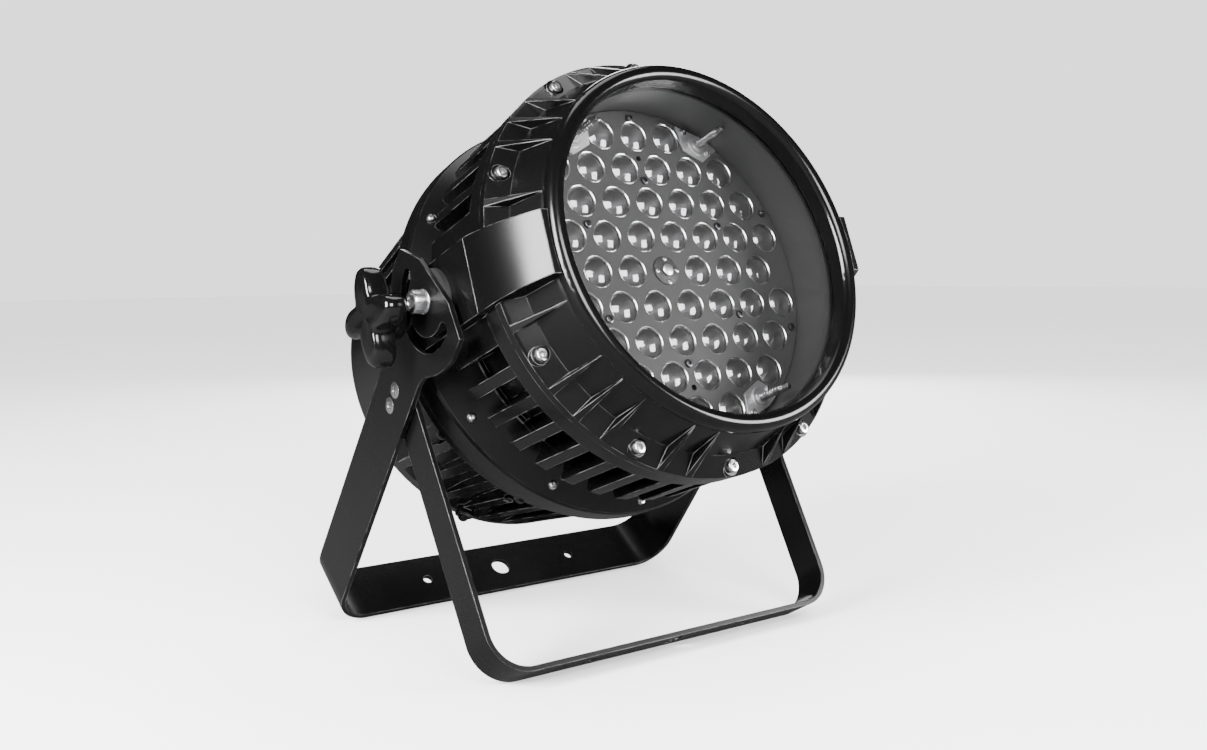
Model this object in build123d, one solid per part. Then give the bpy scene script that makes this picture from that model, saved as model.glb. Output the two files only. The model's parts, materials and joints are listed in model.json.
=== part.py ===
from build123d import *
import os
from math import acos, atan, atan2, cos, degrees, hypot, pi, radians, sin, sqrt

# Sealed zoom par can: a round die-cast head of three shells, a zoom lens plate on four lead
# screws behind clear glass, a hanging yoke with arc slots, and a folding front stand.
# All sizes are millimetres.
#
# Head frame: the optical axis is Y and the light leaves towards -Y; y = 0 is the front face
# of the lens plate; z is up; the tilt pivots are on the X axis at y = PIVOT_Y.

# ---- driving dimensions -------------------------------------------------------------
HEAD_TILT = 20.4          # beam above the horizontal at rest, degrees
PIVOT_Y = 45.0            # tilt axis behind the lens plate's face
LENS_PITCH = 25.0         # hexagonal pitch of the 54 lenses
LENS_R = 9.5
LENS_RINGS = 4
PLATE_R = 103.2
PLATE_T = 3.5
SCREW_R = 95.0            # radius of the four lead screws' circle
SCREW_ANGLES = (60, 120, 240, 300)
ZOOM_TRAVEL = 22.0
ROD_R = 2.5

RIM_R = 110.0             # front bezel
RIM_FRONT = -48.8
GLASS_R = 103.6
GLASS_FRONT = -36.0
GLASS_T = 4.0
LIP_R = 128.0             # rear lip of the front shell
SEAM_1 = -5.0             # front shell to mid shell
FIN_R = 126.5
FIN_PITCH = 8.7           # degrees between cooling fins
POCKETS_EACH = 17         # pockets above, and again below
POCKET_W = 12.2
BAND_R = 130.0            # rear band of the mid shell
SEAM_2 = 97.0             # mid shell to rear shell
BACK_Y = 214.0
COVER_R = 86.0

SIDE_FACE = 131.5         # flat of the pivot block
BLOCK_HALF = 21.5
BAR_T = 3.0               # yoke and stand plate thickness
YOKE_X = 137.8            # outer face of the hanging yoke's arms
YOKE_LEN = 249.4          # pivot to the outer face of the yoke's base
YOKE_W = 40.0
YOKE_SWING = 36.7         # hanging yoke behind the vertical, degrees
YOKE_BEND = 24.0
STUD_ARC_R = 24.5         # clamp stud's circle round the pivot bolt
SLOT_W = 9.0
SLOT_HALF_ANGLE = 88.0
M8_R = 4.0
STAND_PIVOT = 65.0        # along the hanging yoke from its pivot
STAND_LOCK = 12.0         # lock screw beyond the stand's pivot screw
STAND_X = 134.3           # outer face of the stand's pads
STAND_BASE_X = 130.2      # outer face of the stand's arms at the base
STAND_LEN = 176.5
STAND_W = 23.4
STAND_BEND = 25.0
PAD_R = 17.4
RUN_GAP = 0.06            # radial clearance of a running fit
STUD_R = M8_R - RUN_GAP
FACE_GAP = 0.1            # between faces that slide on each other

os.makedirs("parts", exist_ok=True)
nodes = {}


# ---- helpers in the head frame ------------------------------------------------------
def spin(points):
    """A solid of revolution about the optical axis from (radius, y) points."""
    return revolve(Polygon(*points, align=None), Axis.Y)


def rod_y(radius, y0, y1, x=0.0, z=0.0):
    return Pos(x, (y0 + y1) / 2, z) * Rot(90, 0, 0) * Cylinder(radius, y1 - y0)


def ring_y(outer, inner, y0, y1, x=0.0, z=0.0):
    return rod_y(outer, y0, y1, x, z) - rod_y(inner, y0 - 1, y1 + 1, x, z)


def rod_x(radius, x0, x1, y=0.0, z=0.0):
    return Pos((x0 + x1) / 2, y, z) * Rot(0, 90, 0) * Cylinder(radius, abs(x1 - x0))


def ring_x(outer, inner, x0, x1, y=0.0, z=0.0):
    return rod_x(outer, x0, x1, y, z) - rod_x(inner, x0 - 1, x1 + 1, y, z)


def block(x0, x1, y0, y1, z0, z1):
    return Pos((x0 + x1) / 2, (y0 + y1) / 2, (z0 + z1) / 2) * Box(x1 - x0, y1 - y0, z1 - z0)


def turned(shape, angles):
    """Copies of a shape built beside +X, turned about the optical axis towards +Z."""
    return [Rot(0, -angle, 0) * shape for angle in angles]


def both_sides(shape):
    return [shape, mirror(shape, about=Plane.YZ)]


def above_and_below(offsets):
    """Angles at the given offsets from straight up and straight down."""
    return [centre + offset for centre in (90, -90) for offset in offsets]


def side_profile(points, half_width):
    """A plate in the (radius, y) plane beside +X, half_width thick each way."""
    return extrude(Polygon(*points, align=None), amount=half_width, both=True)


def pan_screw(head_r, head_t, shank_r, head_y, length, x, facing=-1, drive_r=0.0):
    """A screw along Y: its head stands from head_y towards facing, its shank goes the other way."""
    head_far = head_y + facing * head_t
    shank_end = head_y - facing * length
    screw = rod_y(head_r, min(head_y, head_far), max(head_y, head_far), x)
    screw += rod_y(shank_r, min(head_y, shank_end), max(head_y, shank_end), x)
    if drive_r:
        drive_end = head_far - facing * head_t * 0.55
        screw -= rod_y(drive_r, min(head_far, drive_end), max(head_far, drive_end), x)
    return screw


HALF_FIN = FIN_PITCH / 2
POCKET_OFFSETS = [FIN_PITCH * k for k in range(-(POCKETS_EACH // 2), POCKETS_EACH // 2 + 1)]
BOSS_OFFSETS = [0.0] + [side * HALF_FIN * k for side in (-1, 1) for k in (7, 15)]
GUSSET_OFFSETS = [side * HALF_FIN * k for side in (-1, 1) for k in (3, 5, 9, 11, 13, 17)]
FLANGE_ANGLES = [30 * k for k in range(12)]
CONE_ANGLES = [angle for angle in FLANGE_ANGLES if angle % 180]


# ---- front: bezel, glass, front shell -----------------------------------------------
def front_bezel():
    edge = Polyline((100, GLASS_FRONT - 0.2), (100, -45.2)) + ThreePointArc(
        (100, -45.2), (104.4, RIM_FRONT), (109.2, -45.6))
    edge += ThreePointArc((109.2, -45.6), (RIM_R - 0.1, -43.6), (RIM_R, -41.4))
    edge += Polyline((RIM_R, -41.4), (GLASS_R + 0.2, -41.4), (GLASS_R + 0.2, GLASS_FRONT - 0.2),
                     (100, GLASS_FRONT - 0.2))
    return revolve(make_face(edge), Axis.Y)


def front_pod():
    """Smooth raised panel on the shell's side, from the rim back to the pivot block."""
    crease_y = 4.0
    front_y = -45.6
    edge = Polyline((100, front_y), (113.5, front_y)) + ThreePointArc(
        (113.5, front_y), (125.6, -23.0), (SIDE_FACE, crease_y))
    edge += Polyline((SIDE_FACE, crease_y), (100, crease_y), (100, front_y))
    panel = extrude(make_face(edge), amount=BLOCK_HALF, both=True)
    outline = Polygon((front_y, -17.5), (front_y, 17.5), (crease_y, BLOCK_HALF),
                      (crease_y, -BLOCK_HALF), align=None)
    trim = Pos(120, 0, 0) * (Plane.YZ * extrude(outline, amount=45, both=True))
    return panel & trim


def gusset():
    """Rib that starts as a point near the rim and widens to the rear lip."""
    rib = side_profile([(106, -40), (110.3, -39), (LIP_R, -10.3), (LIP_R, -8), (114, -8)], 2.6)
    outline = Polygon((-40, -0.15), (-40, 0.15), (-8, 2.4), (-8, -2.4), align=None)
    wedge = Pos(115, 0, 0) * (Plane.YZ * extrude(outline, amount=20, both=True))
    return rib & wedge


def front_shell():
    wall = spin([(104, -41.2), (108.6, -41.2), (109.8, -38.5), (116.5, -18), (126.5, -11.5),
                 (LIP_R, -10.3), (LIP_R, SEAM_1 - 0.2), (119, SEAM_1 - 0.2), (119, -9.5),
                 (113, -18), (108, -28.5), (100.6, -28.5), (100.6, -31), (104, -31)])
    hollow = spin([(0, -50), (RIM_R + 0.3, -50), (RIM_R + 0.3, -41.2), (104, -41.2), (104, -31), (108, -28.5), (113, -18), (119, -9.5),
                   (119, SEAM_1 - 0.2), (LIP_R + 0.2, SEAM_1 - 0.2), (LIP_R + 0.2, 10), (0, 10)])
    angles = above_and_below(BOSS_OFFSETS)
    bosses = turned(rod_y(5.2, -14, SEAM_1 - 0.2, 122.6), angles)
    ribs = turned(gusset(), above_and_below(GUSSET_OFFSETS))
    pods = both_sides(front_pod())
    holes = turned(rod_y(2.5, -30, 10, 122.6) + rod_y(4.7, -30, -14, 122.6), angles)
    return wall + [*(bosses + ribs + pods)] - hollow - [*holes]


nodes["front_bezel"] = front_bezel()
nodes["front_glass"] = rod_y(GLASS_R, GLASS_FRONT, GLASS_FRONT + GLASS_T)
nodes["glass_gasket"] = ring_y(GLASS_R, 100.8, GLASS_FRONT + GLASS_T, -31)
nodes["trim_sleeve"] = ring_y(107.9, PLATE_R + 0.7, -28.5, 2)
nodes["front_shell"] = front_shell()
nodes["front_seal"] = ring_y(126, 120.5, SEAM_1 - 0.2, SEAM_1) - [
    *turned(rod_y(2.5, -10, 0, 122.6), above_and_below(BOSS_OFFSETS))]
nodes["front_shell_screws"] = turned(
    pan_screw(4.3, 4.0, 2.5, -14, 21, 122.6, drive_r=2.0), above_and_below(BOSS_OFFSETS))


# ---- mid shell: the finned heat sink ------------------------------------------------
def mid_shell():
    edge = Polyline((0, 20), (114, 20), (114, SEAM_1), (LIP_R - 0.5, SEAM_1), (LIP_R - 0.5, 6.8),
                    (FIN_R, 7.8), (FIN_R, 53))
    edge += ThreePointArc((FIN_R, 53), (125.0, 56.6), (121.5, 58))
    edge += Polyline((121.5, 58), (107, 60), (BAND_R - 1, 77.6), (BAND_R, 80), (BAND_R, 94),
                     (BAND_R - 1, 95), (127.5, 95), (127.5, SEAM_2), (119, SEAM_2), (119, 81),
                     (101, 63.5), (101, 29), (0, 29), (0, 20))
    body = revolve(make_face(edge), Axis.Y)
    pocket = side_profile([(117.5, 7.6), (135, 7.6), (135, 59.8), (104.5, 59.8), (104.5, 26),
                           (117.5, 20.5)], POCKET_W / 2)
    pivot_block = block(104, SIDE_FACE, 4.2, 80, -BLOCK_HALF, BLOCK_HALF) - spin(
        [(0, -10), (114, -10), (114, 20), (101, 22), (101, 90), (0, 90)])
    holes = turned(rod_y(2.5, -10, 7.0, 122.6), above_and_below(BOSS_OFFSETS))
    holes += turned(rod_y(1.5, 60, 83.6, 123.4) + rod_y(2.9, 62, 73.6, 123.4), CONE_ANGLES)
    holes += turned(rod_y(2.5, 91.5, 100, 122.0), FLANGE_ANGLES)
    holes += both_sides(rod_x(M8_R, 112, 140, PIVOT_Y))
    holes += both_sides(rod_x(STUD_R, 112, 140, PIVOT_Y + STUD_ARC_R))
    for angle in SCREW_ANGLES:
        x, z = SCREW_R * cos(radians(angle)), SCREW_R * sin(radians(angle))
        holes.append(rod_y(3.5, 10, 35, x, z))
    body += [*both_sides(pivot_block)]
    return body - [*turned(pocket, above_and_below(POCKET_OFFSETS))] - [*holes]


nodes["mid_shell"] = mid_shell()
nodes["mid_shell_screws"] = turned(pan_screw(2.6, 3.0, 1.5, 73.6, 10, 123.4, drive_r=1.2), CONE_ANGLES)
nodes["rear_seal"] = ring_y(126, 120, SEAM_2, SEAM_2 + 0.2) - [
    *turned(rod_y(2.5, 90, 105, 122.0), FLANGE_ANGLES)]


# ---- rear shell, cover and connectors -----------------------------------------------
def rear_shell():
    edge = Polyline((COVER_R + 0.3, BACK_Y), (98, BACK_Y)) + ThreePointArc(
        (98, BACK_Y), (107.5, 210.2), (112, 200))
    edge += Polyline((112, 200), (123, 109.5), (125, 108.5), (125, SEAM_2 + 0.2),
                     (119, SEAM_2 + 0.2), (107.5, 109), (106, 200), (97, 208), (76, 208),
                     (76, 210), (COVER_R + 0.3, 210), (COVER_R + 0.3, BACK_Y))
    body = revolve(make_face(edge), Axis.Y)
    pocket = side_profile([(112, 110), (135, 110), (135, 204), (113, 198), (109.8, 160)],
                          POCKET_W / 2 - 0.4)
    foot = Rot(0, 60, 0) * (rod_x(6, 105, 117.5, 188) + Pos(117.5, 188, 0) * Sphere(4))
    feet = [foot, mirror(foot, about=Plane.YZ)]
    holes = turned(rod_y(2.5, 90, 130, 122.0) + rod_y(5.0, 108.5, 125, 122.0), FLANGE_ANGLES)
    holes += [rod_y(1.5, 200, 220, 81 * cos(radians(a)), 81 * sin(radians(a))) for a in COVER_ANGLES]
    body -= [*turned(pocket, above_and_below(POCKET_OFFSETS))]
    return body + [*feet] - [*holes]


COVER_ANGLES = [22.5 + 45 * k for k in range(8)]
DISPLAY = (-29.0, 29.0, 24.0, 52.0)      # x0, x1, z0, z1 of the display opening
BUTTON_X = (-24.0, -8.0, 8.0, 24.0)
BUTTON_Z = 10.0
BUTTON_R = 4.5
SOCKETS = {
    "power_inlet": (-50.0, -22.0),
    "power_outlet": (50.0, -22.0),
    "data_inlet": (-20.0, -50.0),
    "data_outlet": (20.0, -50.0),
}
SOCKET_R = 12.0
VENT_AT = (0.0, -18.0)
EYE_AT = (0.0, 68.0)
COVER_Y = 210.0
COVER_T = 4.0
COVER_FACE = COVER_Y + COVER_T


def rear_cover():
    plate = rod_y(COVER_R, COVER_Y, COVER_FACE)
    cuts = [block(DISPLAY[0], DISPLAY[1], COVER_Y - 1, COVER_FACE + 1, DISPLAY[2], DISPLAY[3])]
    cuts += [rod_y(BUTTON_R + 0.3, COVER_Y - 1, COVER_FACE + 1, x, BUTTON_Z) for x in BUTTON_X]
    cuts += [rod_y(SOCKET_R, COVER_Y - 1, COVER_FACE + 1, x, z) for x, z in SOCKETS.values()]
    cuts.append(rod_y(6.0, COVER_Y - 1, COVER_FACE + 1, *VENT_AT))
    cuts += [rod_y(3.0, COVER_Y - 1, COVER_FACE + 1, EYE_AT[0] + dx, EYE_AT[1]) for dx in (-11, 11)]
    cuts += [rod_y(1.5, 205, 220, 81 * cos(radians(a)), 81 * sin(radians(a))) for a in COVER_ANGLES]
    return plate - [*cuts]


def socket(x, z, pins, shell_r):
    """Round sealed panel connector: square-shouldered flange, barrel, pin carrier and rear body."""
    flange = ring_y(14.5, shell_r, COVER_FACE, COVER_FACE + 2.5, x, z)
    barrel = ring_y(SOCKET_R, shell_r, COVER_Y - 8, COVER_FACE + 12, x, z)
    floor = rod_y(shell_r, COVER_Y - 8, COVER_FACE, x, z)
    step = 2 * pi / pins
    contacts = [rod_y(1.1, COVER_FACE, COVER_FACE + 8, x + 4.2 * cos(k * step), z + 4.2 * sin(k * step))
                for k in range(pins)]
    return flange + [barrel, floor] + contacts


def safety_eye():
    """Steel loop on two threaded legs, for a safety wire."""
    x, z = EYE_AT
    leg_top = COVER_FACE + 3.0
    legs = [rod_y(3.0, COVER_Y - 6, leg_top, x + dx, z) for dx in (-11, 11)]
    bow = Pos(x, leg_top, z) * Torus(11, 3.0)
    keep = block(x - 20, x + 20, leg_top, leg_top + 20, z - 10, z + 10)
    return (bow & keep) + legs


def button(x):
    return rod_y(BUTTON_R, COVER_Y - 1.8, COVER_FACE + 1.5, x, BUTTON_Z) + rod_y(
        BUTTON_R + 1.6, COVER_Y - 1.8, COVER_Y - 0.3, x, BUTTON_Z)


nodes["rear_shell"] = rear_shell()
nodes["rear_shell_screws"] = turned(
    pan_screw(4.2, 4.5, 2.5, 108.5, 17, 122.0, facing=1, drive_r=2.0), FLANGE_ANGLES)
nodes["rear_cover"] = rear_cover()
nodes["rear_cover_screws"] = [
    Rot(0, -angle, 0) * pan_screw(3.0, 2.4, 1.5, COVER_FACE, 12, 81.0, facing=1, drive_r=1.2)
    for angle in COVER_ANGLES]
nodes["display_window"] = block(DISPLAY[0], DISPLAY[1], COVER_FACE - 2.5, COVER_FACE - 0.3,
                                DISPLAY[2], DISPLAY[3])
nodes["display_module"] = block(DISPLAY[0] + 1, DISPLAY[1] - 1, COVER_Y - 4, COVER_FACE - 2.5,
                                DISPLAY[2] + 1, DISPLAY[3] - 1)
for name, (x, z) in SOCKETS.items():
    nodes[name] = socket(x, z, 3 if name.startswith("power") else 5, 9.5)
nodes["breather_vent"] = rod_y(6.0, COVER_Y - 4, COVER_FACE, *VENT_AT) + rod_y(
    9.0, COVER_FACE, COVER_FACE + 4.5, *VENT_AT)
nodes["safety_eye"] = safety_eye()
for name, x in zip(("button_menu", "button_down", "button_up", "button_enter"), BUTTON_X):
    nodes[name] = button(x)


# ---- inside the head ----------------------------------------------------------------
def lens_places():
    """Hexagonal grid without its centre and its six corners."""
    places = []
    for row in range(-LENS_RINGS, LENS_RINGS + 1):
        count = 2 * LENS_RINGS + 1 - abs(row)
        for k in range(count):
            x = (k - (count - 1) / 2) * LENS_PITCH
            z = row * LENS_PITCH * sqrt(3) / 2
            if 1 < hypot(x, z) < LENS_RINGS * LENS_PITCH - 1:
                places.append((x, z))
    return places


def rod_places():
    return [(SCREW_R * cos(radians(a)), SCREW_R * sin(radians(a))) for a in SCREW_ANGLES]


def zoom_lens(x, z):
    """Domed collimator: domed face, barrel that narrows to the emitter, and a retaining flange."""
    edge = Polyline((0, 14), (6.5, 14), (LENS_R, 5.0), (LENS_R + 1.5, 5.0), (LENS_R + 1.5, PLATE_T),
                    (LENS_R, PLATE_T), (LENS_R, 1.6))
    dome_r = (LENS_R ** 2 + 3.2 ** 2) / 6.4
    edge += ThreePointArc((LENS_R, 1.6), (5.0, dome_r - 1.6 - sqrt(dome_r ** 2 - 25)), (0, -1.6))
    edge += Line((0, -1.6), (0, 14))
    return Pos(x, 0, z) * revolve(make_face(edge), Axis.Y)


def lens_plate():
    holes = [rod_y(LENS_R + 0.15, -1, 5, x, z) for x, z in lens_places()]
    holes += [rod_y(3.2, -1, 5, x, z) for x, z in rod_places()]
    holes += [rod_y(1.5, -1, 5, 57.5 * cos(radians(a)), 57.5 * sin(radians(a)))
              for a in range(30, 390, 60)]
    holes += [rod_y(1.8, -1, 5, 0, z) for z in (-72, 72)]
    return rod_y(PLATE_R, 0, PLATE_T) - [*holes]


def lead_nut(x, z):
    """Five-sided flange nut: a narrow end with its screw towards the plate's middle line."""
    outline = Polygon((-13.6, 12.8), (-11.6, -3.8), (2.3, -11.2), (16.2, -2.4), (6.8, 5.2),
                      align=None)
    flange = extrude(fillet(outline.vertices(), 1.2), amount=1.0, both=True)
    flange = Pos(0, -1, 0) * Rot(90, 0, 0) * flange
    if x < 0:
        flange = mirror(flange, about=Plane.YZ)
    if z < 0:
        flange = mirror(flange, about=Plane.XY)
    hub = rod_y(5.0, -4.0, 0)
    return Pos(x, 0, z) * (flange + hub - rod_y(ROD_R + RUN_GAP, -10, 5))


def lead_screw(x, z):
    """Threaded spindle, drawn plain, with a turned-down tip."""
    return rod_y(ROD_R, -26.5, 18, x, z) + rod_y(ROD_R - 0.6, -28, -26.5, x, z)


def zoom_motor(x, z):
    """Round stepper: can, rear boss let into the shell's wall and a bored shaft hole."""
    can = rod_y(9.4, 6.0, 20, x, z) + rod_y(3.5, 20, 28, x, z)
    return can - rod_y(ROD_R + RUN_GAP, 5, 18.1, x, z)


lenses = lens_places()
nodes["lens_plate"] = lens_plate()
nodes["zoom_lenses"] = [zoom_lens(x, z) for x, z in lenses]
nodes["centre_boss"] = rod_y(4.2, -3.0, 0) + rod_y(9.0, -1.2, 0)
nodes["lens_plate_screws"] = turned(
    pan_screw(2.6, 1.6, 1.5, 0, 6.0, 57.5, drive_r=1.0), range(30, 390, 60))
nodes["lead_nuts"] = [lead_nut(x, z) for x, z in rod_places()]
nodes["zoom_motors"] = [zoom_motor(x, z) for x, z in rod_places()]
for letter, (x, z) in zip("abcd", rod_places()):
    nodes["lead_screw_" + letter] = lead_screw(x, z)

motor_clearances = [rod_y(10.4, 10, 25, x, z) for x, z in rod_places()]
nodes["led_board"] = rod_y(100, 16.6, 18.2) - [*motor_clearances]
nodes["led_emitters"] = [block(x - 3.5, x + 3.5, 14.9, 16.6, z - 3.5, z + 3.5) for x, z in lenses]
nodes["thermal_pad"] = rod_y(100, 18.2, 20) - [*motor_clearances]
nodes["chassis_tray"] = block(-64, 64, 29, 188, -36, -34) + block(-64, 64, 29, 31, -58, -34)
nodes["power_supply"] = block(-60, 60, 90, 184, -34, 12) + block(-50, 50, 100, 176, 12, 17)
nodes["control_board"] = block(-46, 46, 198.0, 199.6, -4, 60) + block(-18, 18, 188, 198, 26, 50)
nodes["board_standoffs"] = [rod_y(3.0, 199.6, COVER_Y, x, z) for x in (-41, 41) for z in (1, 55)]


# ---- pivot hardware in the head frame -----------------------------------------------
OUTER_FACE = YOKE_X + FACE_GAP
INNER_FACE = YOKE_X - BAR_T - FACE_GAP
WASHER_T = 1.5
STUD_Y = PIVOT_Y + STUD_ARC_R
KNOB_BASE = OUTER_FACE + WASHER_T


def pivot_bolt():
    head_x = OUTER_FACE + WASHER_T
    bolt = rod_x(6.5, head_x, head_x + 8, PIVOT_Y) + rod_x(M8_R, 114, head_x, PIVOT_Y)
    key = extrude(RegularPolygon(3.4, 6), amount=4.5)
    return bolt - Pos(head_x + 3.6, PIVOT_Y, 0) * Rot(0, 90, 0) * key


def star_knob():
    """Four soft lobes round a hub, on a round stem."""
    lobe_at = 5.0
    steps = 48
    outline = []
    for k in range(steps):
        a = 2 * pi * k / steps
        r = 21.4 + 7.4 * cos(4 * (a - radians(lobe_at)))
        outline.append((r * cos(a), r * sin(a)))
    face = make_face(Spline(*outline, periodic=True))
    body = extrude(face, amount=14)
    body = fillet(body.edges().group_by(Axis.Z)[-1], 3.5)
    body = fillet(body.edges().group_by(Axis.Z)[0], 2.0)
    stem = Cylinder(7.2, 14, align=(Align.CENTER, Align.CENTER, Align.MIN))
    knob = Pos(0, 0, 11) * body + stem
    knob -= Cylinder(M8_R, 20, align=(Align.CENTER, Align.CENTER, Align.MIN))
    # Local X becomes the head's +Y and local Y its +Z, with the axis towards +X.
    turn = Plane(origin=(KNOB_BASE, STUD_Y, 0), x_dir=(0, 1, 0), z_dir=(1, 0, 0))
    return turn.location * knob


nodes["pivot_bolts"] = both_sides(pivot_bolt())
nodes["pivot_washers"] = both_sides(ring_x(8.5, M8_R, OUTER_FACE, OUTER_FACE + WASHER_T, PIVOT_Y))
nodes["friction_discs"] = both_sides(ring_x(18.5, M8_R, SIDE_FACE, INNER_FACE, PIVOT_Y))
nodes["knob_studs"] = both_sides(rod_x(STUD_R, 114, KNOB_BASE + 19, STUD_Y))
nodes["knob_washers"] = both_sides(ring_x(8.5, STUD_R, OUTER_FACE, KNOB_BASE - 0.05, STUD_Y))
nodes["knob_right"], nodes["knob_left"] = both_sides(star_knob())


# ---- yoke and stand, in a frame with the tilt pivot at the origin and the arms down --
def bent_bar(length, top_x, base_x, width, bend, thickness=BAR_T):
    """U of flat bar: two arms down from z = 0 and a base, its outer face at z = -length."""
    outer = Polygon((-top_x, 0), (-base_x, -length), (base_x, -length), (top_x, 0), align=None)
    outer = fillet(outer.vertices().group_by(Axis.Y)[0], bend)
    inner_top, inner_base = top_x - thickness, base_x - thickness
    inner = Polygon((-inner_top, 0), (-inner_base, thickness - length),
                    (inner_base, thickness - length), (inner_top, 0), align=None)
    inner = fillet(inner.vertices().group_by(Axis.Y)[0], bend - thickness)
    return Plane.XZ * extrude(outer - inner, amount=width / 2, both=True)


def base_holes(length):
    """Centre hole and one small hole each side, straight through the bar's base."""
    holes = [Pos(0, 0, -length) * Cylinder(6.75, 20)]
    return holes + [Pos(x, 0, -length) * Cylinder(3.25, 20) for x in (-60, 60)]


def yoke_plate():
    """Widened head of a yoke arm, with the arc slot the clamp stud runs in."""
    edge = Polyline((0, 15), (20, 15), (41, 6.3), (41, -8))
    edge += ThreePointArc((41, -8), (35.2, -21.6), (26.2, -32.6))
    edge += ThreePointArc((26.2, -32.6), (21.7, -38.2), (20, -45.5))
    edge += Polyline((20, -45.5), (20, -60), (0, -60), (0, 15))
    half = make_face(edge)
    outline = half + mirror(half, about=Plane.YZ)
    slot = SlotArc(CenterArc((0, 0), STUD_ARC_R, -90 - SLOT_HALF_ANGLE, 2 * SLOT_HALF_ANGLE), SLOT_W)
    outline = outline - slot - Circle(M8_R + RUN_GAP)
    plate = extrude(outline, amount=BAR_T / 2, both=True)
    return Pos(YOKE_X - BAR_T / 2, 0, 0) * (Plane.YZ * plate)


def countersunk(z):
    """Countersunk M5 with its head flush in the yoke's outer face, pointing inwards."""
    head = Pos(YOKE_X - 1.5, 0, z) * Rot(0, 90, 0) * Cone(2.5, 4.8, 3.0)
    key = Pos(YOKE_X - 1.0, 0, z) * Rot(0, 90, 0) * Cylinder(1.5, 2.1)
    return head + rod_x(2.5, 128.4, YOKE_X - 1.5, 0, z) - key


def hanging_yoke():
    bar = bent_bar(YOKE_LEN, YOKE_X, YOKE_X, YOKE_W, YOKE_BEND)
    bar -= Pos(0, 0, -24) * Box(400, 60, 50)
    plates = both_sides(yoke_plate())
    pins = [both_sides(rod_x(2.5, 120, 145, 0, -z) + Pos(YOKE_X - 1.5, 0, -z) * Rot(0, 90, 0)
            * Cone(2.5, 4.8, 3.0)) for z in PIN_DEPTHS]
    return bar + [*plates] - [*pins[0], *pins[1], *base_holes(YOKE_LEN)]


PIN_DEPTHS = (STAND_PIVOT, STAND_PIVOT + STAND_LOCK)
FLOOR_DROP = YOKE_LEN * cos(radians(YOKE_SWING)) + YOKE_W / 2 * sin(radians(YOKE_SWING))
STAND_DROP = FLOOR_DROP - STAND_PIVOT * cos(radians(YOKE_SWING))
STAND_SWING = degrees(acos(STAND_DROP / hypot(STAND_LEN, STAND_W / 2))
                      + atan2(STAND_W / 2, STAND_LEN))
FOLD_ANGLE = YOKE_SWING + STAND_SWING


def front_stand():
    """Folding stand in its own frame: pivot screw at the origin, arms down."""
    bar = bent_bar(STAND_LEN, STAND_X, STAND_BASE_X, STAND_W, STAND_BEND)
    pad = rod_x(PAD_R, STAND_X - BAR_T, STAND_X)
    arc = CenterArc((0, 0), STAND_LOCK, -90, FOLD_ANGLE)
    slot = Plane.YZ * extrude(SlotArc(arc, 5.6), amount=160, both=True)
    pin = rod_x(2.5 + RUN_GAP, -160, 160)
    return bar + [*both_sides(pad)] - [slot, pin, *base_holes(STAND_LEN)]


yoke_turn = Rot(YOKE_SWING, 0, 0)
yoke_nodes = {
    "hanging_yoke": hanging_yoke(),
    "stand_screws": [piece for z in PIN_DEPTHS for piece in both_sides(countersunk(-z))],
    "stand_spacers": [piece for z in PIN_DEPTHS
                      for piece in both_sides(ring_x(5.0, 2.5, STAND_X + FACE_GAP, YOKE_X - BAR_T, 0, -z))],
    "stand_nuts": [piece for z in PIN_DEPTHS for piece in both_sides(
        ring_x(4.6, 2.5, STAND_X - BAR_T - 2.6, STAND_X - BAR_T - 0.6, 0, -z))],
}


# ---- the assembly on the floor ------------------------------------------------------
def placed(location, shape):
    """One flat list of a node's solids at a location."""
    pieces = shape if isinstance(shape, list) else [shape]
    return [solid for piece in pieces for solid in (location * piece).solids()]


pivot_at = Pos(0, 0, FLOOR_DROP)
head_at = pivot_at * Rot(-HEAD_TILT, 0, 0) * Pos(0, -PIVOT_Y, 0)
yoke_at = pivot_at * yoke_turn
stand_at = yoke_at * Pos(0, 0, -STAND_PIVOT) * Rot(-FOLD_ANGLE, 0, 0)
solids = {name: placed(head_at, shape) for name, shape in nodes.items()}
solids.update({name: placed(yoke_at, shape) for name, shape in yoke_nodes.items()})
solids["front_stand"] = placed(stand_at, front_stand())

whole = Compound([solid for group in solids.values() for solid in group]).bounding_box()
centred = Pos(0, -(whole.min.Y + whole.max.Y) / 2, 0)
for name, group in solids.items():
    export_step(Compound([centred * solid for solid in group]), f"parts/{name}.step")

# Joint positions in the part's frame, for the record.
print("size", whole.max - whole.min, "floor", whole.min.Z)
print("swing", YOKE_SWING, "stand", STAND_SWING, "fold", FOLD_ANGLE)
frames = {"tilt": centred * pivot_at, "fold": centred * stand_at}
frames["zoom"] = centred * head_at
for letter, (x, z) in zip("abcd", rod_places()):
    frames["lead_screw_" + letter] = centred * head_at * Pos(x, 0, z)
frames["knob"] = centred * head_at * Pos(KNOB_BASE, STUD_Y, 0)
for name, x in zip(("menu", "down", "up", "enter"), BUTTON_X):
    frames["button_" + name] = centred * head_at * Pos(x, COVER_FACE, BUTTON_Z)
frames["safety_eye"] = centred * head_at * Pos(EYE_AT[0], COVER_FACE + 8, EYE_AT[1])
frames["yoke_base"] = centred * yoke_at * Pos(0, 0, -YOKE_LEN)
frames["stand_base"] = centred * stand_at * Pos(0, 0, -STAND_LEN)
for name, frame in frames.items():
    print(name, frame.position, frame.orientation)
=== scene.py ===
"""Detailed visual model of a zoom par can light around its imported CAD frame."""
import json
import logging
import math
from dataclasses import dataclass, field
from enum import Enum
from typing import Any, Iterable, Optional, Sequence

import bmesh
import bpy
from mathutils import Matrix, Vector

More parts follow.
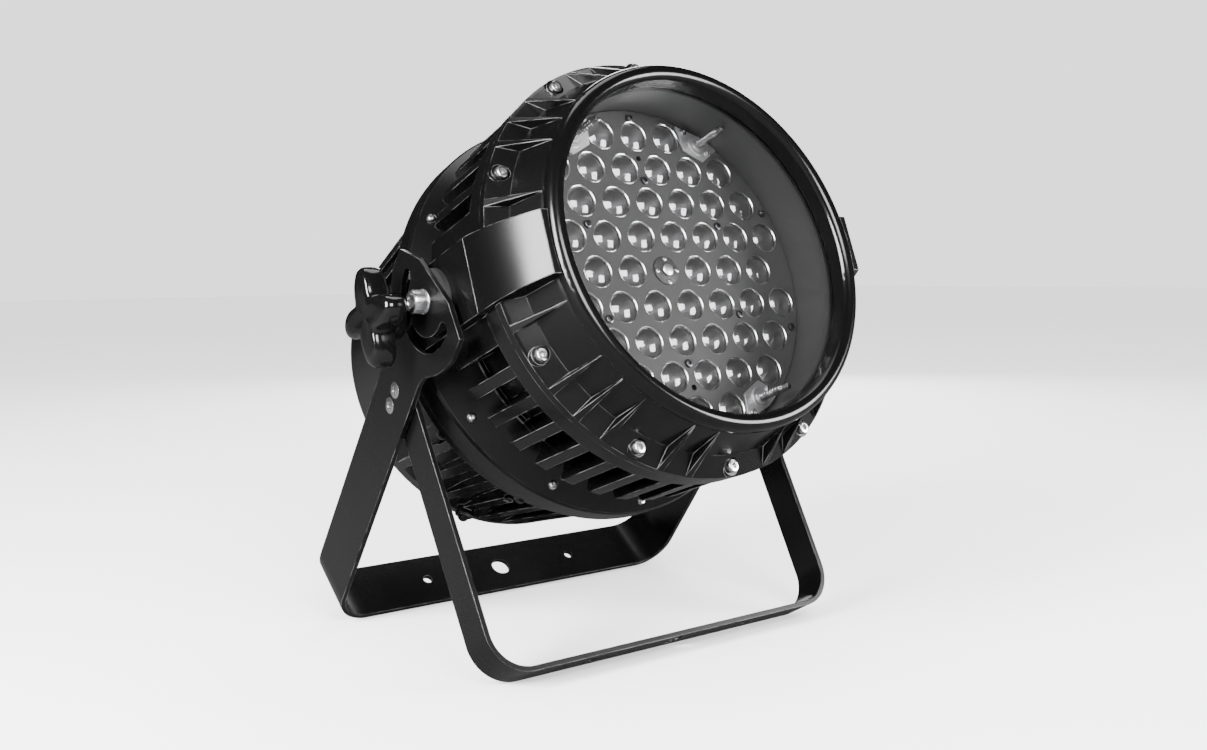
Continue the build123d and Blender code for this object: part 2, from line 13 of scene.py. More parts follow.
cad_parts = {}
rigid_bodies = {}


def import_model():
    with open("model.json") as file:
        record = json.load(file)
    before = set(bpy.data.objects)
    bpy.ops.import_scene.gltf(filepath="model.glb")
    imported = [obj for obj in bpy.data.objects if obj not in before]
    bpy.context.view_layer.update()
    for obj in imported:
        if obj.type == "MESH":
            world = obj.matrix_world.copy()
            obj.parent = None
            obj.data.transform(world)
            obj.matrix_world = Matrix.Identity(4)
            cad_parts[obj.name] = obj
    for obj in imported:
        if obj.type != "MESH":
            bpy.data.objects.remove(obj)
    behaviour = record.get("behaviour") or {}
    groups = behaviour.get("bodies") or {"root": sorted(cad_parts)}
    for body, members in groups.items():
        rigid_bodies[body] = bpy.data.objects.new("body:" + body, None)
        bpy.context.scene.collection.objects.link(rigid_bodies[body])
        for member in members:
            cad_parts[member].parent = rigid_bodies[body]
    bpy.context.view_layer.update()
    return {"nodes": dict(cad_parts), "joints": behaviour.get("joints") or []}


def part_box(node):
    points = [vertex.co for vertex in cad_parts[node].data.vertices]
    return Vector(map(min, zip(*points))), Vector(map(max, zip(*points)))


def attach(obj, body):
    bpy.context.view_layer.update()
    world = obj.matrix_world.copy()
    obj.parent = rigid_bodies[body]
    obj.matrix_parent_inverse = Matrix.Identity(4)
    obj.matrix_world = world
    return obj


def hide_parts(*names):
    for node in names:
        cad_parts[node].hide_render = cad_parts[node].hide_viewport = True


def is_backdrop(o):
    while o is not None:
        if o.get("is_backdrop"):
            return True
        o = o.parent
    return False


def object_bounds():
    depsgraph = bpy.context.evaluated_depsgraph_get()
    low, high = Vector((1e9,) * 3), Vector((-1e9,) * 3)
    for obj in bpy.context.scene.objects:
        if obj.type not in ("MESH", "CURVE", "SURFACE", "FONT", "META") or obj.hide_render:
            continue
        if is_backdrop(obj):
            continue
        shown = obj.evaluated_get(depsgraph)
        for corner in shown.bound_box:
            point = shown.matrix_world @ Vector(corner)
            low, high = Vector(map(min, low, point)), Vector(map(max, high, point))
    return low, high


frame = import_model()
LOG = logging.getLogger("par_can")
logging.basicConfig(level=logging.INFO, format="%(message)s")
MM = 0.001
Point = tuple[float, float, float]


# ---- where the head is --------------------------------------------------------------
def head_matrix() -> Matrix:
    """Head frame to row frame: X along the tilt axis, Y backwards along the beam, origin in the
    middle of the lens plate's face, at rest.

    Returns:
        The matrix that places a piece drawn in the head frame.
    """
    screws = [j for j in frame["joints"] if j["name"].startswith("lead_screw")]
    origin = sum((Vector(j["pos_m"]) for j in screws), Vector()) / len(screws)
    back = -Vector(screws[0]["axis"]).normalized()
    side = Vector((1, 0, 0))
    up = side.cross(back).normalized()
    turn = Matrix((side, back, up)).transposed().to_4x4()
    return Matrix.Translation(origin) @ turn


def joint(name: str) -> dict[str, Any]:
    """The record's joint of that name."""
    return next(j for j in frame["joints"] if j["name"] == name)


HEAD = head_matrix()
TO_HEAD = HEAD.inverted()


def in_head(name: str) -> tuple[Vector, Vector]:
    """A CAD node's lowest and highest corner in the head frame, in millimetres.

    Args:
        name: CAD node.

    Returns:
        The two corners.
    """
    points = [TO_HEAD @ v.co for v in frame["nodes"][name].data.vertices]
    low = Vector(min(p[i] for p in points) for i in range(3)) / MM
    high = Vector(max(p[i] for p in points) for i in range(3)) / MM
    return low, high


# ---- shader wrapper -----------------------------------------------------------------
class Value:
    """A node's output that takes part in Python arithmetic by adding Math nodes."""

    def __init__(self, graph: "Graph", socket: bpy.types.NodeSocket) -> None:
        """Wraps one output socket of a graph."""
        self.graph = graph
        self.socket = socket

    def _math(self, kind: str, first: Any, second: Any = 0.0) -> "Value":
        """Adds one Math node and returns its output."""
        return self.graph.node("ShaderNodeMath", {"operation": kind}, {0: first, 1: second})

    def __add__(self, other: Any) -> "Value":
        """self + other."""
        return self._math("ADD", self, other)

    def __sub__(self, other: Any) -> "Value":
        """self - other."""
        return self._math("SUBTRACT", self, other)

    def __rsub__(self, other: Any) -> "Value":
        """other - self."""
        return self._math("SUBTRACT", other, self)

    def __mul__(self, other: Any) -> "Value":
        """self * other."""
        return self._math("MULTIPLY", self, other)

    def __pow__(self, other: Any) -> "Value":
        """self ** other."""
        return self._math("POWER", self, other)

    __radd__ = __add__
    __rmul__ = __mul__


class Graph:
    """A material's node tree, with one method for every node."""

    def __init__(self, name: str) -> None:
        """Makes an empty material with its output node."""
        self.material = bpy.data.materials.new(name)
        self.material.use_nodes = True
        self.tree = self.material.node_tree
        self.tree.nodes.clear()
        self.output = self.tree.nodes.new("ShaderNodeOutputMaterial")

    def node(self, kind: str, settings: Optional[dict] = None, values: Optional[dict] = None,
             out: Any = 0) -> Value:
        """Adds a node, sets its properties, then its inputs.

        Args:
            kind: Blender's node type.
            settings: properties, or the stops of a colour ramp under "stops".
            values: input name or index to a number, tuple or Value.
            out: name or index of the output wanted.

        Returns:
            The chosen output.
        """
        made = self.tree.nodes.new(kind)
        for key, value in (settings or {}).items():
            if key == "stops":
                ramp = made.color_ramp.elements
                while len(ramp) < len(value):
                    ramp.new(1.0)
                for stop, (place, shade) in zip(ramp, value):
                    stop.position = place
                    stop.color = (shade, shade, shade, 1) if isinstance(shade, float) else shade
            else:
                setattr(made, key, value)
        for key, value in (values or {}).items():
            if isinstance(value, Value):
                self.tree.links.new(value.socket, made.inputs[key])
            else:
                made.inputs[key].default_value = value
        return Value(self, made.outputs[out])

    def place(self) -> Value:
        """Object coordinates, which are the row frame in metres."""
        return self.node("ShaderNodeTexCoord", out="Object")

    def noise(self, scale: float, detail: float = 3.0, place: Optional[Value] = None) -> Value:
        """Noise of about that many features a metre, from 0 to 1."""
        return self.node("ShaderNodeTexNoise", {},
                         {"Vector": place or self.place(), "Scale": scale, "Detail": detail})

    def bump(self, height: Value, depth: float, strength: float = 1.0,
             normal: Optional[Value] = None) -> Value:
        """A bump normal of that depth in metres."""
        values = {"Height": height, "Distance": depth, "Strength": strength}
        if normal:
            values["Normal"] = normal
        return self.node("ShaderNodeBump", {}, values)

    def mix(self, amount: Any, first: Any, second: Any) -> Value:
        """A colour between two, by amount."""
        mixed = self.node("ShaderNodeMix", {"data_type": "RGBA"},
                          {0: amount, 6: first, 7: second}, out=2)
        return mixed

    def surface(self, shader: Value) -> bpy.types.Material:
        """Puts a shader on the output and returns the material."""
        self.tree.links.new(shader.socket, self.output.inputs["Surface"])
        return self.material


Colour = tuple[float, float, float, float]


def grey(level: float, alpha: float = 1.0) -> Colour:
    """A neutral colour."""
    return (level, level, level, alpha)


# ---- finishes -----------------------------------------------------------------------
@dataclass(frozen=True)
class PowderCoat:
    """Sprayed powder coat: fine orange peel, slow changes of gloss, and a painted highlight that
    lightens the edges in patches.
    """

    name: str
    shade: float = 0.0013
    roughness: float = 0.23
    shine: float = 0.30
    peel: float = 0.000010
    grain: float = 2600.0
    edge: float = 0.0009
    # Paleness added to the shade along the edges: a painted highlight.
    edge_highlight: float = 0.10

    def build(self) -> bpy.types.Material:
        """Makes the material."""
        g = Graph(self.name)
        slow = g.noise(14, 3)
        fine = g.noise(self.grain, 2)
        rounded = g.node("ShaderNodeBevel", {"samples": 6}, {"Radius": self.edge})
        plain = g.node("ShaderNodeNewGeometry", out="Normal")
        same = g.node("ShaderNodeVectorMath", {"operation": "DOT_PRODUCT"},
                      {0: rounded, 1: plain}, out="Value")
        # Painted highlight: where the bevelled normal departs from the plain normal, the colour is
        # lightened, in patches set by noise.
        edge_highlight_mask = g.node("ShaderNodeMapRange", {}, {"Value": same, 1: 0.985, 2: 0.80})
        edge_highlight_mask = edge_highlight_mask * g.node("ShaderNodeMapRange", {}, {"Value": g.noise(90, 5), 1: 0.42, 2: 0.62})
        colour = g.mix(edge_highlight_mask, grey(self.shade), grey(self.shade + self.edge_highlight))
        gloss = (slow - 0.5) * 0.16 + fine * 0.05 + (self.roughness - 0.02)
        normal = g.bump(fine, self.peel, 0.55, rounded)
        return g.surface(g.node("ShaderNodeBsdfPrincipled", {}, {
            "Base Color": colour, "Roughness": gloss, "Normal": normal,
            "Specular IOR Level": self.shine}))


@dataclass(frozen=True)
class Metal:
    """Bare metal with fine lay marks and small changes of polish."""

    name: str
    colour: Colour = (0.62, 0.62, 0.63, 1)
    roughness: float = 0.24
    lay: Point = (5200, 5200, 5200)
    depth: float = 0.0000015

    def build(self) -> bpy.types.Material:
        """Makes the material."""
        g = Graph(self.name)
        place = g.node("ShaderNodeMapping", {}, {"Vector": g.place(), "Scale": self.lay})
        lines = g.noise(1.0, 3, place)
        stain = g.noise(120, 4)
        dark = tuple(c * 0.86 for c in self.colour[:3]) + (1,)
        colour = g.mix(g.node("ShaderNodeMapRange", {}, {"Value": stain, 1: 0.45, 2: 0.75}),
                       self.colour, dark)
        return g.surface(g.node("ShaderNodeBsdfPrincipled", {}, {
            "Base Color": colour, "Metallic": 1.0,
            "Roughness": (lines - 0.5) * 0.08 + self.roughness + stain * 0.04,
            "Normal": g.bump(lines, self.depth, 0.3)}))


@dataclass(frozen=True)
class Plastic:
    """Moulded plastic, rubber or solder mask: soft mottle and a fine spark-eroded grain."""

    name: str
    colour: Colour = (0.011, 0.011, 0.012, 1)
    roughness: float = 0.16
    grain: float = 2600.0
    depth: float = 0.00001
    coat: float = 0.0

    def build(self) -> bpy.types.Material:
        """Makes the material."""
        g = Graph(self.name)
        fine = g.noise(self.grain, 2)
        slow = g.noise(35, 4)
        lighter = tuple(min(1.0, c * 1.3 + 0.0008) for c in self.colour[:3]) + (1,)
        colour = g.mix(slow, self.colour, lighter)
        return g.surface(g.node("ShaderNodeBsdfPrincipled", {}, {
            "Base Color": colour, "Roughness": (slow - 0.5) * 0.10 + self.roughness,
            "Coat Weight": self.coat, "Coat Roughness": 0.05,
            "Normal": g.bump(fine, self.depth, 0.5)}))


@dataclass(frozen=True)
class ClearGlass:
    """Clear pane or lens skin: transparent, with a reflection that grows at grazing angles."""

    name: str
    tint: Colour = (0.95, 0.95, 0.95, 1)
    normal: float = 0.04
    gloss: float = 0.0
    haze: float = 0.0

    def build(self) -> bpy.types.Material:
        """Makes the material."""
        g = Graph(self.name)
        smear = g.noise(22, 5)
        through = g.node("ShaderNodeBsdfTransparent", {}, {"Color": self.tint})
        shine = g.node("ShaderNodeBsdfPrincipled", {}, {
            "Base Color": grey(0.8), "Metallic": 1.0,
            "Roughness": smear * 0.03 + self.gloss + 0.005})
        facing = g.node("ShaderNodeLayerWeight", {}, {"Blend": 0.5}, out="Facing")
        mirror = facing ** 5.0 * (1.0 - self.normal) + self.normal
        return g.surface(g.node("ShaderNodeMixShader", {}, {
            0: mirror + smear * self.haze, 1: through, 2: shine}))


@dataclass(frozen=True)
class Phosphor:
    """Yellow light-emitting chips under clear silicone, unlit."""

    name: str = "phosphor"

    def build(self) -> bpy.types.Material:
        """Makes the material."""
        g = Graph(self.name)
        cells = g.node("ShaderNodeTexVoronoi", {}, {"Vector": g.place(), "Scale": 480.0})
        colour = g.mix(cells, (0.75, 0.62, 0.16, 1), (0.86, 0.84, 0.80, 1))
        return g.surface(g.node("ShaderNodeBsdfPrincipled", {}, {
            "Base Color": colour, "Roughness": 0.3 + cells * 0.1}))


class Finish(Enum):
    """Every finish on the light, by the name of its material."""

    HOUSING = PowderCoat("housing_powder_coat")
    # The last number of each powder coat is the paleness of its painted edge highlight.
    YOKE = PowderCoat("yoke_powder_coat", 0.0014, 0.27, 0.28, 0.000014, 2200.0, 0.0007, 0.09)
    BEZEL = PowderCoat("bezel_enamel", 0.0013, 0.17, 0.30, 0.000003, 2600.0, 0.0006, 0.03)
    SLEEVE = PowderCoat("sleeve_satin", 0.034, 0.36, 0.50, 0.000006, 2600.0, 0.0002, 0.02)
    PLATE = PowderCoat("lens_plate_matt", 0.020, 0.50, 0.40, 0.000008, 2600.0, 0.0003, 0.02)
    STAINLESS = Metal("stainless_turned")
    BLACKENED = Metal("blackened_steel", (0.10, 0.10, 0.105, 1), 0.32)
    BRIGHT = Metal("bright_aluminium", (0.66, 0.66, 0.67, 1), 0.36, (1200, 9000, 1200))
    SPINDLE = Metal("rolled_spindle", (0.55, 0.55, 0.56, 1), 0.2)
    SHEET = Metal("mill_sheet", (0.58, 0.59, 0.60, 1), 0.38, (200, 200, 1800))
    BRASS = Metal("brass_insert", (0.70, 0.50, 0.20, 1), 0.25)
    GOLD = Metal("gold_contact", (0.90, 0.66, 0.25, 1), 0.18)
    KNOB = Plastic("knob_gloss", (0.0012, 0.0012, 0.0012, 1), 0.12, 1800.0, 0.000004)
    SOCKET = Plastic("socket_nylon", (0.020, 0.020, 0.022, 1), 0.38)
    BUTTON = Plastic("button_silicone", (0.045, 0.045, 0.048, 1), 0.5)
    RUBBER = Plastic("seal_rubber", (0.012, 0.012, 0.012, 1), 0.62)
    FRICTION = Plastic("friction_fibre", (0.0015, 0.0015, 0.0015, 1), 0.6, 1600.0, 0.00001)
    BOARD = Plastic("solder_mask", (0.015, 0.12, 0.05, 1), 0.3)
    SCREEN = Plastic("dark_screen", (0.010, 0.020, 0.045, 1), 0.1)
    PAD = Plastic("thermal_pad", (0.42, 0.42, 0.45, 1), 0.7)
    REFLECTOR = Metal("lens_reflector", (0.50, 0.50, 0.51, 1), 0.38)
    RIM = Metal("lens_rim", (0.62, 0.62, 0.63, 1), 0.22)
    GLASS = ClearGlass("front_glass_clear", normal=0.014, haze=0.006)
    LENS = ClearGlass("lens_acrylic", (0.85, 0.85, 0.85, 1), 0.12, 0.10)
    WINDOW = ClearGlass("display_glass", (0.35, 0.38, 0.42, 1))
    PHOSPHOR = Phosphor()


_made: dict[Finish, bpy.types.Material] = {}


def coat(finish: Finish) -> bpy.types.Material:
    """The finish's material, made once."""
    if finish not in _made:
        _made[finish] = finish.value.build()
    return _made[finish]


def dress(names: Iterable[str], finish: Finish) -> None:
    """Puts a finish on CAD nodes that keep their shape.

    Args:
        names: CAD nodes.
        finish: the finish for all of them.
    """
    for name in names:
        for holder in frame["nodes"][name].material_slots:
            holder.material = coat(finish)


# ---- mesh helpers, in millimetres ---------------------------------------------------
def new_object(name: str, mesh: bpy.types.Mesh) -> bpy.types.Object:
    """Links a new object for a mesh."""
    made = bpy.data.objects.new(name, mesh)
    bpy.context.scene.collection.objects.link(made)
    return made


def lathe(name: str, profile: Sequence[tuple[float, float]], steps: int = 32,
          smooth: bool = True) -> bpy.types.Mesh:
    """A closed turned shape about Y.

    Args:
        name: mesh name.
        profile: (radius, y) points from one pole to the other, in millimetres.
        steps: segments round the axis.
        smooth: shade faces smooth, with sharp corners kept.

    Returns:
        The mesh, in millimetres.
    """
    mesh = bpy.data.meshes.new(name)
    shape = bmesh.new()
    rings: list[list[Any]] = []
    for radius, y in profile:
        if radius < 1e-6:
            rings.append([shape.verts.new((0, y, 0))])
            continue
        turn = [2 * math.pi * k / steps for k in range(steps)]
        rings.append([shape.verts.new((radius * math.cos(a), y, radius * math.sin(a)))
                      for a in turn])
    for near, far in zip(rings, rings[1:]):
        for k in range(steps):
            after = (k + 1) % steps
            corners = [near[k % len(near)], near[after % len(near)],
                       far[after % len(far)], far[k % len(far)]]
            shape.faces.new(list(dict.fromkeys(corners)))
    finish_mesh(shape, mesh, smooth)
    return mesh


def finish_mesh(shape: bmesh.types.BMesh, mesh: bpy.types.Mesh, smooth: bool = True,
                sharp: float = 38.0) -> None:
    """Writes a bmesh to a mesh with outward normals and sharp corners marked.

    Args:
        shape: the bmesh, which is freed.
        mesh: where it goes.
        smooth: shade smooth between sharp edges.
        sharp: smallest angle of a sharp edge, in degrees.
    """
    bmesh.ops.remove_doubles(shape, verts=shape.verts, dist=1e-5)
    bmesh.ops.recalc_face_normals(shape, faces=shape.faces)
    limit = math.radians(sharp)
    for face in shape.faces:
        face.smooth = smooth
    for edge in shape.edges:
        edge.smooth = edge.is_manifold and edge.calc_face_angle(0) < limit
    shape.to_mesh(mesh)
    shape.free()


def prism(name: str, outline: Sequence[tuple[float, float]], y0: float, y1: float,
          edge: float = 0.0) -> bpy.types.Mesh:
    """A plate along Y with an (x, z) outline.

    Args:
        name: mesh name.
        outline: corners in millimetres.
        y0: one face.
        y1: the other face.
        edge: width of a small bevel round both faces.

    Returns:
        The mesh.
    """
    shape = bmesh.new()
    low = [shape.verts.new((x, y0, z)) for x, z in outline]
    high = [shape.verts.new((x, y1, z)) for x, z in outline]
    shape.faces.new(low)
    shape.faces.new(high[::-1])
    count = len(outline)
    for k in range(count):
        shape.faces.new((low[k], high[k], high[(k + 1) % count], low[(k + 1) % count]))
    if edge:
        rims = [e for e in shape.edges if abs(e.verts[0].co.y - e.verts[1].co.y) < 1e-6]
        bmesh.ops.bevel(shape, geom=rims, offset=edge, segments=2, affect="EDGES")
    mesh = bpy.data.meshes.new(name)
    finish_mesh(shape, mesh)
    return mesh


def joined(name: str, meshes: Iterable[bpy.types.Mesh]) -> bpy.types.Mesh:
    """Several meshes as one."""
    shape = bmesh.new()
    for mesh in meshes:
        shape.from_mesh(mesh)
    result = bpy.data.meshes.new(name)
    shape.to_mesh(result)
    shape.free()
    return result


def settle(piece: bpy.types.Object, body: str, finish: Finish,
           replaces: Sequence[str] = (), place: Matrix = HEAD) -> bpy.types.Object:
    """Gives a piece drawn in millimetres its place, finish and body.

    Args:
        piece: the object.
        body: CAD body it rides on.
        finish: its finish.
        replaces: CAD nodes it stands for.
        place: frame it was drawn in.

    Returns:
        The same object.
    """
    piece.data.transform(place @ Matrix.Diagonal((MM, MM, MM, 1)))
    piece.data.update()
    if not piece.data.materials:
        piece.data.materials.append(coat(finish))
    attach(piece, body)
    if replaces:
        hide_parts(*replaces)
    LOG.info("%-26s on %-14s %6d faces", piece.name, body, len(piece.data.polygons))
    return piece


# ---- geometry nodes -----------------------------------------------------------------
class Tree:
    """A geometry node tree with named inputs."""

    def __init__(self, name: str, inputs: dict[str, str]) -> None:
        """Makes the group and its sockets.

        Args:
            name: group name.
            inputs: socket name to socket type.
        """
        self.group = bpy.data.node_groups.new(name, "GeometryNodeTree")
        self.ids: dict[str, str] = {}
        face = self.group.interface
        face.new_socket("Geometry", in_out="INPUT", socket_type="NodeSocketGeometry")
        for label, kind in inputs.items():
            socket = face.new_socket(label, in_out="INPUT", socket_type=kind)
            self.ids[label] = socket.identifier
        face.new_socket("Geometry", in_out="OUTPUT", socket_type="NodeSocketGeometry")
        self.entry = self.group.nodes.new("NodeGroupInput")
        self.exit = self.group.nodes.new("NodeGroupOutput")

    def given(self, label: str) -> bpy.types.NodeSocket:
        """The group input of that name."""
        return self.entry.outputs[label]

    def add(self, kind: str, settings: Optional[dict] = None, values: Optional[dict] = None,
            out: Any = 0) -> bpy.types.NodeSocket:
        """Adds a node with properties, then inputs, and returns an output."""
        made = self.group.nodes.new(kind)
        for key, value in (settings or {}).items():
            setattr(made, key, value)
        for key, value in (values or {}).items():
            if isinstance(value, bpy.types.NodeSocket):
                self.group.links.new(value, made.inputs[key])
            else:
                made.inputs[key].default_value = value
        return made.outputs[out]

    def finish(self, geometry: bpy.types.NodeSocket) -> None:
        """Ends the tree in Realize Instances and Set Material."""
        real = self.add("GeometryNodeRealizeInstances", {}, {0: geometry})
        painted = self.add("GeometryNodeSetMaterial", {},
                           {"Geometry": real, "Material": self.given("Finish")})
        self.group.links.new(painted, self.exit.inputs[0])

    def run(self, name: str, base: bpy.types.Mesh, values: dict[str, Any]) -> bpy.types.Object:
        """Runs the tree on a base mesh and keeps the plain mesh that results.

        Args:
            name: name of the finished object.
            base: mesh that the tree starts from.
            values: input name to value.

        Returns:
            The finished object, with no modifier.
        """
        holder = new_object(name + "_base", base)
        modifier = holder.modifiers.new("nodes", "NODES")
        modifier.node_group = self.group
        for label, value in values.items():
            modifier[self.ids[label]] = value
        bpy.context.view_layer.update()
        graph = bpy.context.evaluated_depsgraph_get()
        mesh = bpy.data.meshes.new_from_object(holder.evaluated_get(graph))
        bpy.data.objects.remove(holder)
        mesh.name = name
        return new_object(name, mesh)


def scatter_tree() -> Tree:
    """Copies of a piece on every point of the base, each turned by chance about its own axis."""
    tree = Tree("copies_on_points", {"Piece": "NodeSocketObject", "Finish": "NodeSocketMaterial",
                                     "Size": "NodeSocketFloat", "Most Turn": "NodeSocketFloat",
                                     "Seed": "NodeSocketInt"})
    piece = tree.add("GeometryNodeObjectInfo", {}, {"Object": tree.given("Piece")}, "Geometry")
    turn = tree.add("FunctionNodeRandomValue", {"data_type": "FLOAT"},
                    {3: tree.given("Most Turn"), "Seed": tree.given("Seed")}, 1)
    spin = tree.add("ShaderNodeCombineXYZ", {}, {"Y": turn})
    copies = tree.add("GeometryNodeInstanceOnPoints", {}, {
        "Points": tree.given("Geometry"), "Instance": piece, "Rotation": spin,
        "Scale": tree.given("Size")})
    tree.finish(copies)
    return tree


def thread_tree() -> Tree:
    """A ridge that winds along Y: a screw thread."""
    tree = Tree("thread_ridge", {"Turns": "NodeSocketFloat", "Radius": "NodeSocketFloat",
                                 "Length": "NodeSocketFloat", "Ridge": "NodeSocketFloat",
                                 "Start": "NodeSocketFloat", "Finish": "NodeSocketMaterial"})
    spiral = tree.add("GeometryNodeCurveSpiral", {}, {
        "Resolution": 14, "Rotations": tree.given("Turns"), "Start Radius": tree.given("Radius"),
        "End Radius": tree.given("Radius"), "Height": tree.given("Length")})
    ridge = tree.add("GeometryNodeCurvePrimitiveCircle", {}, {
        "Resolution": 4, "Radius": tree.given("Ridge")})
    wound = tree.add("GeometryNodeCurveToMesh", {}, {"Curve": spiral, "Profile Curve": ridge,
                                                     "Fill Caps": True})
    shift = tree.add("ShaderNodeCombineXYZ", {}, {"Y": tree.given("Start")})
    along = tree.add("GeometryNodeTransform", {}, {
        "Geometry": wound, "Rotation": (-math.pi / 2, 0, 0), "Translation": shift})
    both = tree.add("GeometryNodeJoinGeometry", {}, {"Geometry": along})
    tree.group.links.new(tree.given("Geometry"), both.node.inputs["Geometry"])
    tree.finish(both)
    return tree


SCATTER = scatter_tree()
THREAD = thread_tree()


def points_mesh(name: str, points: Iterable[Point]) -> bpy.types.Mesh:
    """A mesh of loose points."""
    mesh = bpy.data.meshes.new(name)
    mesh.from_pydata([tuple(p) for p in points], [], [])
    return mesh


def scatter(name: str, piece: bpy.types.Mesh, points: Iterable[Point], finish: Finish,
            spin: float = 0.0, seed: int = 1, size: float = 1.0) -> bpy.types.Object:
    """Copies of a piece on points, by geometry nodes.

    Args:
        name: name of the result.
        piece: mesh to copy, its axis along Y.
        points: places, in millimetres.
        finish: finish of all copies.
        spin: most turn about Y, in radians.
        seed: seed of the turns.
        size: scale of each copy.

    Returns:
        The finished object.
    """
    pattern = new_object(name + "_pattern", piece)
    made = SCATTER.run(name, points_mesh(name + "_points", points), {
        "Piece": pattern, "Finish": coat(finish), "Size": size, "Most Turn": spin, "Seed": seed})
    bpy.data.objects.remove(pattern)
    return made


def at_angles(radius: float, y: float, angles: Iterable[float]) -> list[Point]:
    """Points on a circle about Y, at angles in degrees from +X towards +Z."""
    return [(radius * math.cos(math.radians(a)), y, radius * math.sin(math.radians(a)))
            for a in angles]


def cap_screw(name: str, radius: float, height: float, key: float, facing: float = -1,
              washer: float = 0.0, crown: float = 0.25) -> bpy.types.Mesh:
    """Head of a screw with a hexagon socket, standing from y = 0 towards facing.

    Args:
        name: mesh name.
        radius: head radius.
        height: head height.
        key: half-width of the socket.
        facing: -1 towards the front, 1 towards the back.
        washer: radius of a washer under the head, or 0 for none.
        crown: rounding of the head's edge, as a share of its height.

    Returns:
        The mesh, in millimetres.
    """
    steps = 24
    top, soft = height * facing, height * crown * facing
    floor = top - 0.6 * height * facing

    def ring(size: float, y: float, hexagon: float = 0.0) -> list[Point]:
        """One ring of points, round or drawn in to a hexagon."""
        result = []
        for k in range(steps):
            a = 2 * math.pi * k / steps
            six = (a + math.pi / 6) % (math.pi / 3) - math.pi / 6
            reach = size * (1 - hexagon + hexagon / math.cos(six))
            result.append((reach * math.cos(a), y, reach * math.sin(a)))
        return result

    base = 0.35 * facing if washer else 0.0
    rings = []
    if washer:
        rings += [ring(washer, 0), ring(washer, base), ring(radius, base)]
    rings += [ring(radius, 0 if not washer else base + 0.01 * facing), ring(radius, top - soft),
              ring(radius - abs(soft) * 0.3, top - soft * 0.3), ring(radius - abs(soft), top),
              ring(key * 1.12, top), ring(key, top - 0.1 * height * facing, 1.0),
              ring(key, floor, 1.0)]
    shape = bmesh.new()
    loops = [[shape.verts.new(p) for p in points] for points in rings]
    for near, far in zip(loops, loops[1:]):
        for k in range(steps):
            j = (k + 1) % steps
            shape.faces.new((near[k], near[j], far[j], far[k]))
    shape.faces.new(loops[-1])
    shape.faces.new(loops[0])
    mesh = bpy.data.meshes.new(name)
    finish_mesh(shape, mesh)
    return mesh


def fasten(name: str, head: bpy.types.Mesh, points: Iterable[Point], finish: Finish, body: str,
           seed: int, replaces: Sequence[str] = ()) -> None:
    """Screws on points, each turned by chance, settled on a body.

    Args:
        name: name of the piece.
        head: one screw's mesh.
        points: places, in millimetres.
        finish: finish of all the screws.
        body: CAD body they ride on.
        seed: seed of the turns.
        replaces: CAD nodes they stand for.
    """
    made = scatter(name, head, points, finish, 1.0, seed)
    settle(made, body, finish, replaces)


def moved(mesh: bpy.types.Mesh, place: Matrix) -> bpy.types.Mesh:
    """The same mesh, transformed by place."""
    mesh.transform(place)
    return mesh


def across(x: float, z: float) -> Matrix:
    """A shift in the plane square to the beam."""
    return Matrix.Translation((x, 0, z))


def about_beam(angle: float) -> Matrix:
    """A turn about the beam, by angle in radians."""
    return Matrix.Rotation(angle, 4, "Y")


# ---- the head's front ---------------------------------------------------------------
@dataclass
class LensArray:
    """Domed collimators on a hexagonal grid that has no middle and no corners."""

    pitch: float = 25.0
    rings: int = 4
    radius: float = 8.9
    crown: float = 2.9
    body: str = "lens_carriage"

    def places(self) -> list[Point]:
        """Middles of the lenses at the plate's face."""
        result = []
        for row in range(-self.rings, self.rings + 1):
            count = 2 * self.rings + 1 - abs(row)
            for k in range(count):
                x = (k - (count - 1) / 2) * self.pitch
                z = row * self.pitch * math.sqrt(3) / 2
                if 1 < math.hypot(x, z) < self.rings * self.pitch - 1:
                    result.append((x, 0.0, z))
        return result

    def dome(self) -> bpy.types.Mesh:
        """One clear lens: a spherical face and a flat back."""
        r, sag = self.radius, self.crown
        ball = (r * r + sag * sag) / (2 * sag)
        front = [(ball * math.sin(t), ball - ball * math.cos(t) - sag + 1.5)
                 for t in (math.asin(r / ball) * k / 7 for k in range(8))]
        return lathe("dome", front + [(r, 1.8), (0, 1.8)], 28)

    def cup(self) -> bpy.types.Mesh:
        """Moulded barrel behind the lens, open at its narrow end."""
        inner = [(8.9, 2.0), (8.6, 4.0), (7.6, 7.5), (5.8, 10.8), (3.6, 13.2)]
        outer = [(4.4, 13.9), (6.8, 11.4), (8.6, 8.0), (9.4, 4.6), (9.4, 2.0)]
        return lathe("cup", inner + outer + inner[:1], 24)

    def rim(self) -> bpy.types.Mesh:
        """Bright bevel round the edge of each hole."""
        return lathe("rim", [(9.74, 0.05), (9.7, -0.2), (9.6, -0.25), (9.16, 0.0), (9.1, 0.6),
                             (9.08, 1.4), (9.74, 1.4), (9.74, 0.05)], 36)

    def build(self) -> None:
        """Makes and dresses all the lenses."""
        spots = self.places()
        domes = scatter("lens_domes", self.dome(), spots, Finish.LENS)
        settle(domes, self.body, Finish.LENS, ["zoom_lenses"])
        cups = scatter("lens_cups", self.cup(), spots, Finish.REFLECTOR)
        settle(cups, self.body, Finish.REFLECTOR)
        rims = scatter("lens_rims", self.rim(), spots, Finish.RIM)
        settle(rims, self.body, Finish.RIM)


